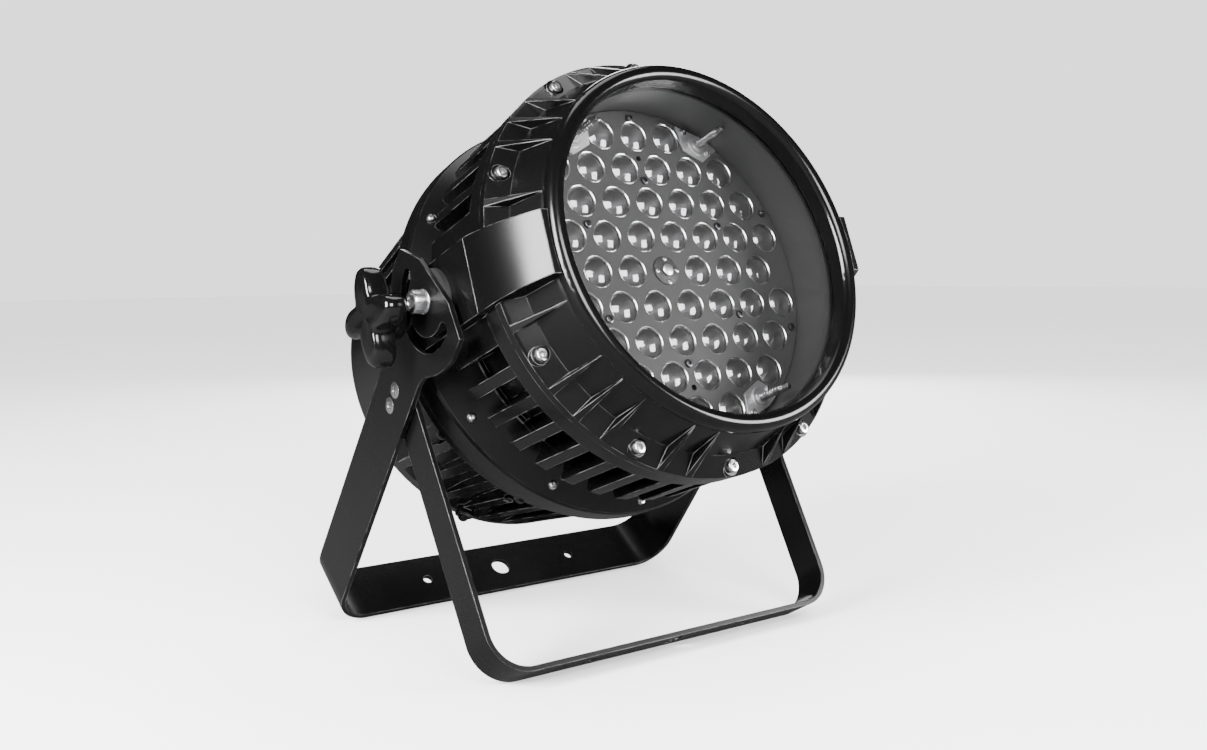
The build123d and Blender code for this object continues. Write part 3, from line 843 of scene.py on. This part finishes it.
@dataclass
class PlateHardware:
    """Screws, centre cap and nut screws on the moving lens plate."""

    body: str = "lens_carriage"
    screw_circle: float = 57.5
    edge_circle: float = 98.5
    edge_angles: tuple[float, ...] = (90, 270, 23, -23, 157, 203)
    cap_circle: float = 7.2
    nut_circle: float = 95.0
    nut_angles: tuple[float, ...] = (60, 120, 240, 300)
    nut_face: float = -2.0
    nut_outline: tuple[tuple[float, float], ...] = (
        (-13.4, 12.6), (-11.5, -3.7), (2.3, -11.0), (16.0, -2.4), (6.7, 5.1))
    nut_screw_spots: tuple[tuple[float, float], ...] = ((-8.6, 8.4), (8.3, -4.6))

    def mirrored(self, spots: Iterable[tuple[float, float]]) -> list[list[tuple[float, float]]]:
        """Places given about one nut, mirrored to all four nuts."""
        result = []
        for x, _, z in at_angles(self.nut_circle, 0, self.nut_angles):
            sx, sz = math.copysign(1, x), math.copysign(1, z)
            result.append([(x + sx * dx, z + sz * dz) for dx, dz in spots])
        return result

    def nuts(self) -> bpy.types.Mesh:
        """Five-sided nut plates with broken edges, each with a stepped hub."""
        parts = []
        hubs = at_angles(self.nut_circle, 0.0, self.nut_angles)
        for (x, _, z), outline in zip(hubs, self.mirrored(self.nut_outline)):
            way = 1 if x * z > 0 else -1
            parts.append(prism("nut_plate", outline[::way], self.nut_face, 0.0, 0.3))
            hub = lathe("nut_hub", [(2.6, -4.0), (4.4, -4.0), (4.8, -3.6), (4.8, -1.9),
                                    (2.6, -1.9), (2.6, -4.0)], 32)
            parts.append(moved(hub, across(x, z)))
        return joined("lead_nut_plates", parts)

    def plate_screws(self) -> None:
        """Screws in the plate and on the nuts."""
        small = cap_screw("plate_screw", 2.5, 1.5, 1.1, crown=0.5)
        places = at_angles(self.screw_circle, 0, range(30, 390, 60))
        places += at_angles(self.edge_circle, 0, self.edge_angles)
        fasten("plate_screws", small, places, Finish.BLACKENED, self.body, 3,
               ["lens_plate_screws"])
        on_nut = cap_screw("nut_screw", 2.3, 1.3, 1.0, crown=0.5)
        places = [(x, self.nut_face, z) for spots in self.mirrored(self.nut_screw_spots)
                  for x, z in spots]
        fasten("nut_screws", on_nut, places, Finish.STAINLESS, self.body, 4)

    def centre_cap(self) -> None:
        """Flange, boss and four small screws in the middle of the plate."""
        flange = lathe("flange", [(0, -0.9), (8.5, -0.9), (8.9, -0.6), (8.9, 0.2), (0, 0.2)], 40)
        settle(new_object("centre_flange", flange), self.body, Finish.PLATE,
               ["centre_boss"])
        cap = lathe("cap", [(0, -2.9), (3.1, -2.9), (3.7, -2.5), (3.9, -0.8), (0, -0.8)], 32)
        settle(new_object("centre_cap", cap), self.body, Finish.BRIGHT)
        tiny = cap_screw("cap_screw", 1.5, 0.9, 0.7, crown=0.5)
        fasten("centre_cap_screws", tiny, at_angles(self.cap_circle, -0.9, range(0, 360, 90)),
               Finish.STAINLESS, self.body, 5)

    def build(self) -> None:
        """Makes and dresses the hardware."""
        self.plate_screws()
        settle(new_object("lead_nut_plates", self.nuts()), self.body, Finish.BRIGHT,
               ["lead_nuts"])
        collar = lathe("nut_collar", [(6.6, -2.0), (6.6, -2.7), (6.2, -3.1), (5.2, -3.1),
                                      (5.2, -2.0), (6.6, -2.0)], 32)
        made = scatter("nut_collars", collar, at_angles(self.nut_circle, 0, self.nut_angles),
                       Finish.BRIGHT)
        settle(made, self.body, Finish.BRIGHT)
        self.centre_cap()


@dataclass
class Spindle:
    """One threaded zoom spindle with a turned tip."""

    letter: str
    core: float = 2.15
    tip: float = 1.8
    turns: float = 16.0
    ridge: float = 0.34
    plain_start: float = 4.0
    plain_end: float = 2.5

    def build(self) -> None:
        """Makes the spindle on its own body."""
        name = f"lead_screw_{self.letter}"
        low, high = in_head(name)
        x, z = (low.x + high.x) / 2, (low.z + high.z) / 2
        near, far = low.y, high.y
        shaft = lathe("shaft", [(0, near), (self.tip - 0.4, near), (self.tip, near + 0.5),
                                (self.tip, near + 2.6), (self.core, near + 3.2),
                                (self.core, far), (0, far)], 20)
        made = THREAD.run(name + "_detail", shaft, {
            "Turns": self.turns, "Radius": self.core, "Ridge": self.ridge,
            "Length": far - near - self.plain_start - self.plain_end,
            "Start": near + self.plain_start, "Finish": coat(Finish.SPINDLE)})
        place = HEAD @ across(x * MM, z * MM)
        settle(made, name, Finish.SPINDLE, [name], place)


# ---- housing ------------------------------------------------------------------------
@dataclass
class Housing:
    """Cast shells and their screws; the shells keep their CAD shape."""

    body: str = "head"
    shell_circle: float = 122.6
    shell_face: float = -14.0
    shell_offsets: tuple[float, ...] = (0.0, 30.45, -30.45, 65.25, -65.25)
    cone_circle: float = 123.4
    cone_face: float = 73.6
    flange_circle: float = 122.0
    flange_face: float = 108.5
    finishes: tuple[tuple[tuple[str, ...], Finish], ...] = (
        (("front_shell", "mid_shell", "rear_shell", "rear_cover"), Finish.HOUSING),
        (("front_bezel",), Finish.BEZEL), (("trim_sleeve",), Finish.SLEEVE),
        (("lens_plate",), Finish.PLATE),
        (("glass_gasket", "front_seal", "rear_seal"), Finish.RUBBER),
        (("front_glass",), Finish.GLASS),
        (("led_board", "control_board"), Finish.BOARD),
        (("led_emitters",), Finish.PHOSPHOR), (("thermal_pad",), Finish.PAD),
        (("chassis_tray", "power_supply"), Finish.SHEET),
        (("zoom_motors",), Finish.BLACKENED), (("board_standoffs",), Finish.BRASS))

    def screws(self) -> None:
        """The three rings of screws."""
        angles = [c + o for c in (90, -90) for o in self.shell_offsets]
        fasten("front_shell_caps", cap_screw("shell_screw", 3.6, 3.3, 1.7, crown=0.22),
               at_angles(self.shell_circle, self.shell_face, angles), Finish.STAINLESS,
               self.body, 7, ["front_shell_screws"])
        twelve = [30 * k for k in range(12)]
        off_pivots = [a for a in twelve if a % 180]
        fasten("cone_caps", cap_screw("cone_screw", 2.5, 2.6, 1.2, crown=0.4),
               at_angles(self.cone_circle, self.cone_face, off_pivots), Finish.STAINLESS,
               self.body, 8, ["mid_shell_screws"])
        fasten("flange_caps", cap_screw("flange_screw", 4.0, 4.2, 2.0, 1, crown=0.2),
               at_angles(self.flange_circle, self.flange_face, twelve), Finish.BLACKENED,
               self.body, 9, ["rear_shell_screws"])

    def build(self) -> None:
        """Dresses the shells and adds the screws."""
        for names, finish in self.finishes:
            dress(names, finish)
        self.screws()


# ---- pivots, yoke and stand ---------------------------------------------------------
@dataclass
class StarKnob:
    """Four-lobed clamp knob with a dished back, round stem and rounded edges."""

    side: str
    lobes: int = 4
    middle: float = 21.4
    reach: float = 7.4
    lobe_at: float = 5.0
    stem: float = 7.0
    hub: float = 13.4
    thick: float = 14.0
    stand_off: float = 11.0
    steps: int = 96

    def rings(self) -> list[tuple[float, float]]:
        """(share of the outline, height) pairs from the stem's foot to the outer face."""
        h, t = self.stand_off, self.thick
        return [(0.80, h - 0.3), (0.90, h), (0.955, h + 0.4), (0.99, h + 1.4),
                (1.0, h + 3.2), (1.0, h + t - 5.0), (0.985, h + t - 3.0), (0.94, h + t - 1.3),
                (0.86, h + t - 0.5), (0.70, h + t - 0.15), (0.45, h + t - 0.3),
                (0.2, h + t - 0.5)]

    def mesh(self, turn: float) -> bpy.types.Mesh:
        """The knob about local Z, its stem's foot at zero.

        Args:
            turn: angle of the first lobe, in degrees.
        """
        shape = bmesh.new()

        def ring(share: float, height: float, blend: float = 1.0) -> list[Any]:
            """One lobed ring; blend 0 makes it round."""
            made = []
            for k in range(self.steps):
                a = 2 * math.pi * k / self.steps
                lobed = self.middle + self.reach * math.cos(self.lobes * (a - math.radians(turn)))
                size = share * (lobed * blend + self.middle * (1 - blend))
                if blend and height < self.stand_off + 3.5:
                    size = max(size, self.hub - 0.1)
                made.append(shape.verts.new((size * math.cos(a), size * math.sin(a), height)))
            return made

        loops = [ring(r / self.middle, h, 0.0) for r, h in
                 ((self.stem - 0.5, 0), (self.stem, 0.5), (self.stem, 3.6), (self.hub - 1.2, 4.0),
                  (self.hub - 0.3, 4.3), (self.hub, 5.0), (self.hub, 9.6), (self.hub - 0.1, 10.2))]
        loops += [ring(s, h) for s, h in self.rings()]
        for near, far in zip(loops, loops[1:]):
            for k in range(self.steps):
                j = (k + 1) % self.steps
                shape.faces.new((near[k], near[j], far[j], far[k]))
        for rim, height in ((loops[0], 0.0), (loops[-1], self.stand_off + self.thick - 0.55)):
            tip = shape.verts.new((0, 0, height))
            for k in range(self.steps):
                shape.faces.new((rim[k], rim[(k + 1) % self.steps], tip))
        mesh = bpy.data.meshes.new("star_knob")
        finish_mesh(shape, mesh, True, 60)
        return mesh

    def build(self) -> None:
        """Makes the knob on its body."""
        pivot = joint(f"knob_{self.side}_turn")
        out = Vector(pivot["axis"]).normalized()
        back = (HEAD.to_3x3() @ Vector((0, 1, 0))).normalized()
        place = Matrix.Translation(Vector(pivot["pos_m"])) @ Matrix(
            (back, out.cross(back), out)).transposed().to_4x4()
        name = f"knob_{self.side}"
        turn = self.lobe_at if self.side == "right" else -self.lobe_at
        settle(new_object(name + "_star", self.mesh(turn)), name, Finish.KNOB,
               [name], place)


@dataclass
class Pivots:
    """Pivot bolts, clamp studs and their washers."""

    body: str = "head"
    knurls: int = 40
    shank_radius: float = 3.95
    shank_end: float = 114.0
    hole_radius: float = 4.0
    washer_depth: float = 1.5

    def bolt(self, reach: float) -> list[bpy.types.Mesh]:
        """One bolt with its head at zero: knurled socket head and plain shank.

        Args:
            reach: length of the shank.

        Returns:
            Its parts, with the head towards the front.
        """
        parts = [cap_screw("pivot_head", 6.4, 7.6, 3.2, washer=6.9, crown=0.16)]
        rib = prism("rib", [(-0.16, 6.35), (0.16, 6.35), (0.1, 6.62), (-0.1, 6.62)], -6.4, -1.0)
        parts += [moved(rib.copy(), about_beam(2 * math.pi * k / self.knurls))
                  for k in range(self.knurls)]
        end = self.shank_radius
        parts.append(lathe("shank", [(0, 0), (end, 0), (end, reach), (0, reach)], 32))
        return parts

    def washers(self) -> list[bpy.types.Mesh]:
        """Spring washer and plain washer of one bolt."""
        depth, rings = self.washer_depth, []
        for radius, near, far in ((7.2, 0.0, 0.6 * depth), (6.9, 0.62 * depth, depth)):
            hole, soft = self.hole_radius, 0.15
            rings.append(lathe("washer", [
                (hole, near), (radius - 0.2, near), (radius, near + soft), (radius, far - soft),
                (radius - 0.2, far), (hole, far), (hole, near)], 36))
        return rings

    def build(self) -> None:
        """Makes the bolts and dresses the rest."""
        low, high = in_head("pivot_bolts")
        face = in_head("pivot_washers")[1].x
        bolts, washers = [], []
        for side in (-1, 1):
            turn = Matrix.Rotation(math.radians(90 * side), 4, "Z")
            place = Matrix.Translation((side * face, (low.y + high.y) / 2, 0)) @ turn
            bolts += [moved(part, place) for part in self.bolt(face - self.shank_end)]
            washers += [moved(ring, place) for ring in self.washers()]
        for name, parts, node in (("pivot_bolt_heads", bolts, "pivot_bolts"),
                                  ("pivot_washer_rings", washers, "pivot_washers")):
            settle(new_object(name, joined(name, parts)), self.body, Finish.STAINLESS,
                   [node])
        dress(("knob_studs",), Finish.STAINLESS)
        dress(("knob_washers",), Finish.BLACKENED)
        dress(("friction_discs",), Finish.FRICTION)


@dataclass
class YokeAndStand:
    """Bent flat bar, with the countersunk screws that hold the stand."""

    head: float = 4.7
    head_depth: float = 2.4
    sunk: float = 2.3
    shank_radius: float = 2.45
    lock_offset: float = 12.0

    def build(self) -> None:
        """Dresses the bars and makes the screws, each with a dark plug in its hex socket as
        painted shade.
        """
        dress(("hanging_yoke", "front_stand"), Finish.YOKE)
        dress(("stand_nuts", "stand_spacers"), Finish.STAINLESS)
        tilt = Vector(joint("head_tilt")["pos_m"])
        arm = Vector(joint("stand_fold")["pos_m"]) - tilt
        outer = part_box("hanging_yoke")[1].x / MM
        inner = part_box("stand_nuts")[0].x / MM
        end, radius = outer + inner + 0.3, self.shank_radius
        screws, sockets = [], []
        for side in (-1, 1):
            turn = Matrix(((0, -side, 0), (0, 0, 1), (-side, 0, 0))).to_4x4()
            for reach in (0.0, self.lock_offset):
                spot = arm.normalized() * (arm.length / MM + reach)
                place = Matrix.Translation((side * (outer - self.sunk), spot.y, spot.z)) @ turn
                # A dark nylon plug in the bottom of each hex socket: painted shade standing for
                # the shadow in the recess.
                socket = lathe("socket", [(0, -1.6), (1.75, -1.6), (1.75, -0.4), (0, -0.4)], 16)
                sockets.append(moved(socket, place))
                top = cap_screw("flat_screw", self.head, self.head_depth, 1.9, crown=0.2)
                shank = lathe("shank", [(0, 0.0), (radius, 0.0), (radius, end), (0, end)], 28)
                screws += [moved(top, place), moved(shank, place)]
        at = Matrix.Translation(tilt)
        settle(new_object("stand_flat_screws", joined("stand_flat_screws", screws)), "yoke",
               Finish.STAINLESS, ["stand_screws"], at)
        # The dark plugs in the screw sockets are painted shade.
        settle(new_object("stand_screw_sockets", joined("stand_screw_sockets", sockets)), "yoke",
               Finish.SOCKET, (), at)


# ---- rear panel ---------------------------------------------------------------------
@dataclass
class RearPanel:
    """Display, buttons, sockets, vent and eye on the rear cover."""

    body: str = "head"
    sockets: tuple[str, ...] = ("power_inlet", "power_outlet", "data_inlet", "data_outlet")
    buttons: tuple[str, ...] = ("button_menu", "button_down", "button_up", "button_enter")
    barrel: float = 12.0
    pin_circle: float = 4.0
    screw_inset: float = 5.0
    surround: float = 2.5
    overlap: float = 0.6

    def centre(self, name: str) -> tuple[float, float, float]:
        """(x, face y, z) of a CAD node seen from behind, in the head frame."""
        low, high = in_head(name)
        return (low.x + high.x) / 2, high.y, (low.z + high.z) / 2

    def socket_details(self, name: str) -> None:
        """Shell, insert, lugs, contacts and seal of one round connector."""
        x, tip, z = self.centre(name)
        face = tip - self.barrel
        body = lathe("shell", [(9.5, face), (9.5, tip - 0.8), (10.0, tip), (11.3, tip),
                               (11.7, tip - 0.6), (11.7, face + 2.6), (14.0, face + 2.6),
                               (14.5, face + 2.1), (14.5, face), (9.5, face)], 40)
        insert = lathe("insert", [(0, face + 0.4), (9.4, face + 0.4), (9.4, face + 1.6),
                                  (6.6, face + 1.6), (6.4, face + 7.0), (5.9, face + 7.4),
                                  (0, face + 7.4)], 32)
        lug_shape = [(-1.2, 11.6), (1.2, 11.6), (0.9, 12.0), (-0.9, 12.0)]
        lugs = [moved(prism("lug", lug_shape, tip - 6.0, tip - 1.5),
                      about_beam(2 * math.pi * k / 3)) for k in range(3)]
        self.place(name + "_shell", joined(name + "_shell", [body, insert, *lugs]), (x, z),
                   Finish.SOCKET, "sockets", [name])
        pins = 3 if name.startswith("power") else 5
        pin = lathe("pin", [(0, 0), (1.0, 0), (1.0, 1.2), (0.6, 1.8), (0, 1.9)], 16)
        ring = at_angles(self.pin_circle, face + 7.3, [90 + 360 / pins * k for k in range(pins)])
        places = [(x + px, y, z + pz) for px, y, pz in ring]
        settle(scatter(name + "_contacts", pin, places, Finish.GOLD), self.body, Finish.GOLD)
        seal = lathe("seal", [(14.9, face), (14.9, face + 0.5), (14.4, face + 0.9),
                              (14.4, face), (14.9, face)], 40)
        self.place(name + "_seal", seal, (x, z), Finish.RUBBER, "seal_rubber")

    def place(self, name: str, mesh: bpy.types.Mesh, spot: tuple[float, float], finish: Finish,
              slot: str, replaces: Sequence[str] = (), body: str = "head") -> None:
        """Settles a turned piece at its spot on the cover.

        Args:
            name: name of the piece.
            mesh: its mesh, about the beam.
            spot: its (x, z) place.
            finish: its finish.
            slot: not used.
            replaces: CAD nodes it stands for.
            body: CAD body it rides on.
        """
        settle(new_object(name, moved(mesh, across(*spot))), body, finish, replaces)

    def button_details(self, name: str) -> None:
        """A domed key with a raised dot, on its own body."""
        x, tip, z = self.centre(name)
        key = lathe("key", [(0, tip), (1.0, tip), (1.3, tip - 0.25), (3.2, tip - 0.35),
                            (4.1, tip - 0.7), (4.5, tip - 1.4), (4.5, tip - 7.2),
                            (0, tip - 7.2)], 32)
        self.place(name + "_key", key, (x, z), Finish.BUTTON, "buttons", (), name)
        dress((name,), Finish.BUTTON)

    def build(self) -> None:
        """Makes and dresses the panel."""
        low, high = in_head("rear_cover")
        face, radius = high.y, (high.x - low.x) / 2 - self.screw_inset
        head = cap_screw("cover_screw", 2.9, 2.2, 1.2, 1, crown=0.5)
        angles = [22.5 + 45 * k for k in range(8)]
        fasten("cover_caps", head, at_angles(radius, face, angles), Finish.STAINLESS, self.body,
               11, ["rear_cover_screws"])
        for name in self.sockets:
            self.socket_details(name)
        for name in self.buttons:
            self.button_details(name)
        dress(("display_window",), Finish.WINDOW)
        dress(("display_module",), Finish.SCREEN)
        dress(("safety_eye",), Finish.STAINLESS)
        self.frame_round(self.around_display(self.surround), self.around_display(-self.overlap),
                         face)
        self.vent(face)

    def around_display(self, grow: float) -> list[tuple[float, float]]:
        """Corners of the display window, moved outwards by grow."""
        low, high = in_head("display_window")
        left, right, bottom, top = low.x - grow, high.x + grow, low.z - grow, high.z + grow
        return [(left, bottom), (right, bottom), (right, top), (left, top)]

    def frame_round(self, outer: Sequence[tuple[float, float]],
                    inner: Sequence[tuple[float, float]], face: float) -> None:
        """A raised surround for the display.

        Args:
            outer: its outer corners.
            inner: its inner corners.
            face: the cover's outer face.
        """
        shape = bmesh.new()
        loops = [[shape.verts.new((x, y, z)) for x, z in points] for points, y in
                 ((outer, face), (outer, face + 1.0), (inner, face + 1.6), (inner, face))]
        for near, far in zip(loops, loops[1:] + loops[:1]):
            for k in range(4):
                shape.faces.new((near[k], near[(k + 1) % 4], far[(k + 1) % 4], far[k]))
        bmesh.ops.bevel(shape, geom=shape.edges[:], offset=0.25, segments=2, affect="EDGES")
        mesh = bpy.data.meshes.new("display_surround")
        finish_mesh(shape, mesh)
        settle(new_object("display_surround", mesh), self.body, Finish.SOCKET)

    def vent(self, face: float) -> None:
        """Breather with slots round its cap."""
        x, tip, z = self.centre("breather_vent")
        cap = lathe("vent", [(0, tip), (5.5, tip), (7.6, tip - 0.5), (8.6, tip - 1.6),
                             (8.6, tip - 2.2), (7.4, tip - 2.4), (7.4, tip - 3.4),
                             (8.9, tip - 3.6), (8.9, face), (0, face)], 36)
        fin_shape = [(-0.5, 6.9), (0.5, 6.9), (0.5, 8.5), (-0.5, 8.5)]
        fins = [moved(prism("fin", fin_shape, tip - 3.6, tip - 2.1), about_beam(math.pi * k / 6))
                for k in range(12)]
        self.place("vent_cap", joined("vent_cap", [cap, *fins]), (x, z), Finish.RUBBER,
                   "seal_rubber", ["breather_vent"])


# ---- studio -------------------------------------------------------------------------
@dataclass
class Softbox:
    """One rectangular studio light aimed at the middle of the object."""

    name: str
    aim: Point
    far: float
    size: tuple[float, float]
    power: float

    def build(self, middle: Vector) -> None:
        """Makes the light.

        Args:
            middle: point it is aimed at.
        """
        data = bpy.data.lights.new(self.name, "AREA")
        data.shape = "RECTANGLE"
        data.size, data.size_y = self.size
        data.energy = self.power
        lamp = bpy.data.objects.new(self.name, data)
        way = Vector(self.aim).normalized()
        lamp.location = middle + way * self.far
        lamp.rotation_mode = "QUATERNION"
        lamp.rotation_quaternion = way.to_track_quat("Z", "Y")
        bpy.context.scene.collection.objects.link(lamp)


@dataclass
class Studio:
    """Pale floor, plain soft light and the camera."""

    camera_from_plate: Point = (-0.46642, -0.56146, 0.00086)
    camera_turn: Point = (85.1553, 0.5525, -36.9008)
    lens: float = 36.6
    air: float = 1.9
    reflected_air: float = 0.03
    reflected_floor: float = 0.10
    boxes: list[Softbox] = field(default_factory=lambda: [
        Softbox("left_box", (-0.93, -0.15, 0.36), 1.5, (0.55, 0.8), 110),
        Softbox("front_box", (-0.22, -0.88, 0.45), 1.7, (0.75, 0.75), 62),
        Softbox("right_box", (0.66, -0.76, 0.08), 1.6, (0.8, 0.65), 62),
        Softbox("top_box", (0.15, 0.25, 1.0), 1.7, (1.2, 0.7), 10),
        Softbox("rear_box", (0.75, 0.85, 0.35), 1.8, (0.9, 0.9), 24)])

    def floor(self) -> None:
        """A large pale floor."""
        shape = bmesh.new()
        bmesh.ops.create_grid(shape, x_segments=1, y_segments=1, size=12)
        mesh = bpy.data.meshes.new("floor")
        finish_mesh(shape, mesh)
        g = Graph("floor_paper")
        paper = g.noise(3, 2)
        seen = g.mix(paper, grey(0.90), grey(0.93))
        ray = g.node("ShaderNodeLightPath", out="Is Glossy Ray")
        mesh.materials.append(g.surface(g.node("ShaderNodeBsdfDiffuse", {}, {
            "Color": g.mix(ray, seen, grey(self.reflected_floor))})))
        made = new_object("floor", mesh)
        made.location.z = -0.0004
        made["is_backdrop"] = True

    def camera(self) -> None:
        """The camera, placed from the lens plate's middle."""
        low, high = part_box("lens_plate")
        data = bpy.data.cameras.new("camera")
        data.sensor_width = 36.0
        data.lens = self.lens
        data.clip_start = 0.01
        made = bpy.data.objects.new("camera", data)
        made.location = (low + high) / 2 + Vector(self.camera_from_plate)
        made.rotation_euler = [math.radians(a) for a in self.camera_turn]
        bpy.context.scene.collection.objects.link(made)
        bpy.context.scene.camera = made

    def build(self) -> None:
        """Makes the whole studio."""
        self.camera()
        self.floor()
        world = bpy.data.worlds.new("studio_air")
        world.use_nodes = True
        tree = world.node_tree
        ray = tree.nodes.new("ShaderNodeLightPath")
        dim = tree.nodes.new("ShaderNodeMix")
        dim.data_type = "RGBA"
        dim.inputs[6].default_value = grey(self.air)
        dim.inputs[7].default_value = grey(self.reflected_air)
        tree.links.new(ray.outputs["Is Glossy Ray"], dim.inputs[0])
        tree.links.new(dim.outputs[2], tree.nodes["Background"].inputs["Color"])
        world.cycles.sampling_method = "NONE"
        bpy.context.scene.world = world
        low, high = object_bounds()
        for box in self.boxes:
            box.build((low + high) / 2)


def main() -> None:
    """Builds every sub-assembly in order."""
    Studio().build()
    assemblies = [Housing(), LensArray(), PlateHardware(), *(Spindle(c) for c in "abcd"),
                  StarKnob("left"), StarKnob("right"), Pivots(), YokeAndStand(), RearPanel()]
    for assembly in assemblies:
        LOG.info("%s", type(assembly).__name__)
        assembly.build()


if __name__ == "__main__":
    main()
